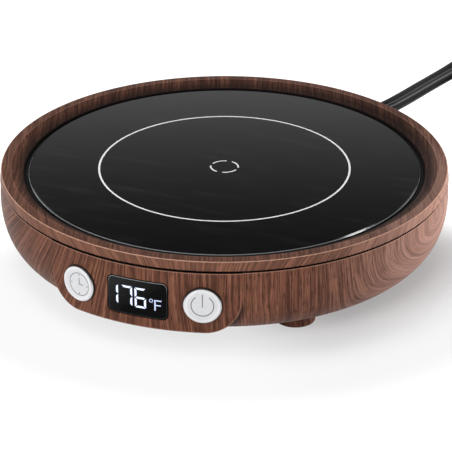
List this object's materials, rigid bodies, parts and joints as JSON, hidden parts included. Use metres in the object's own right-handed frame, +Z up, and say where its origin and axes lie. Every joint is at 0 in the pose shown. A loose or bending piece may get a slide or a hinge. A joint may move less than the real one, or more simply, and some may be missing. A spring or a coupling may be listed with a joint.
{
  "type": "electric mug warmer",
  "caption": "Low round electric mug warmer: black glass heating plate in a raised rim, curved front panel with a display and push buttons, flat mains lead with a coil and a plug.",
  "frame": {"origin": "on the table under the axis of the round body", "axes": "+Z up along the body's axis, -Y out of the control panel, +X to the right of the panel as its user faces it"},
  "size_m": [0.1733, 0.2512, 0.028],
  "materials": {
    "walnut_finish": "satin dark wood-grain print on moulded plastic",
    "black_glass": "polished, back-printed black",
    "window_glass": "gloss smoked window",
    "seal_silicone": "matt",
    "heater_aluminium": "machined",
    "mica": "satin, brittle sheet",
    "track_foil": "dull foil",
    "pad_fibre": "matt fibre felt",
    "plated_steel": "zinc plated",
    "ceramic": "unglazed ceramic",
    "sensor_bead": "glazed",
    "module_black": "moulded",
    "board_green": "solder mask",
    "silver_paint": "satin silver paint",
    "plunger_black": "moulded",
    "ribbon_grey": "satin",
    "core_laminate": "varnished laminations",
    "capacitor_sleeve": "shrink sleeve",
    "terminal_green": "moulded",
    "header_white": "moulded",
    "wire_white": "glass-fibre sleeve",
    "wire_red": "satin",
    "wire_grey": "satin",
    "clamp_black": "moulded",
    "foot_rubber": "matt",
    "cord_black": "satin",
    "blade_brass": "plain"
  },
  "bodies": {
    "housing": {"rim_ring": "walnut_finish", "base_shell": "walnut_finish", "glass_plate": "black_glass", "glass_seal": "seal_silicone", "heater_plate": "heater_aluminium", "mica_sheet": "mica", "heating_track": "track_foil", "insulation_pad": "pad_fibre", "heat_shield": "plated_steel", "shield_screws": "plated_steel", "sensor_holder": "ceramic", "thermistor": "sensor_bead", "thermal_fuse": "ceramic", "fuse_strap": "plated_steel", "display_window": "window_glass", "display_module": "module_black", "front_board": "board_green", "timer_switch": "plated_steel", "power_switch": "plated_steel", "ribbon_cable": "ribbon_grey", "main_board": "board_green", "transformer": "core_laminate", "capacitors": "capacitor_sleeve", "power_transistor": "module_black", "board_fuse": "ceramic", "control_chip": "module_black", "terminal_block": "terminal_green", "board_headers": "header_white", "board_screws": "plated_steel", "heater_leads": "wire_white", "sensor_leads": "wire_red", "mains_leads": "wire_grey", "clamp_bar": "clamp_black", "clamp_screws": "plated_steel", "case_screws": "plated_steel", "foot_pad_front_left": "foot_rubber", "foot_pad_front_right": "foot_rubber", "foot_pad_rear_left": "foot_rubber", "foot_pad_rear_right": "foot_rubber", "strain_relief": "cord_black", "power_cord": "cord_black", "cord_coil": "cord_black", "cord_tail": "cord_black", "cord_tie": "cord_black", "plug_body": "cord_black", "plug_blades": "blade_brass"},
    "timer_button": {"timer_button": "silver_paint", "timer_plunger": "plunger_black"},
    "power_button": {"power_button": "silver_paint", "power_plunger": "plunger_black"}
  },
  "joints": [
    {"name": "timer_press", "type": "slide", "parent": "housing", "child": "timer_button", "axis": [0.2799, 0.96, 0], "range_m": [0, 0.0005], "stiffness_N_per_m": 800},
    {"name": "power_press", "type": "slide", "parent": "housing", "child": "power_button", "axis": [-0.2799, 0.96, 0], "range_m": [0, 0.0005], "stiffness_N_per_m": 800}
  ]
}
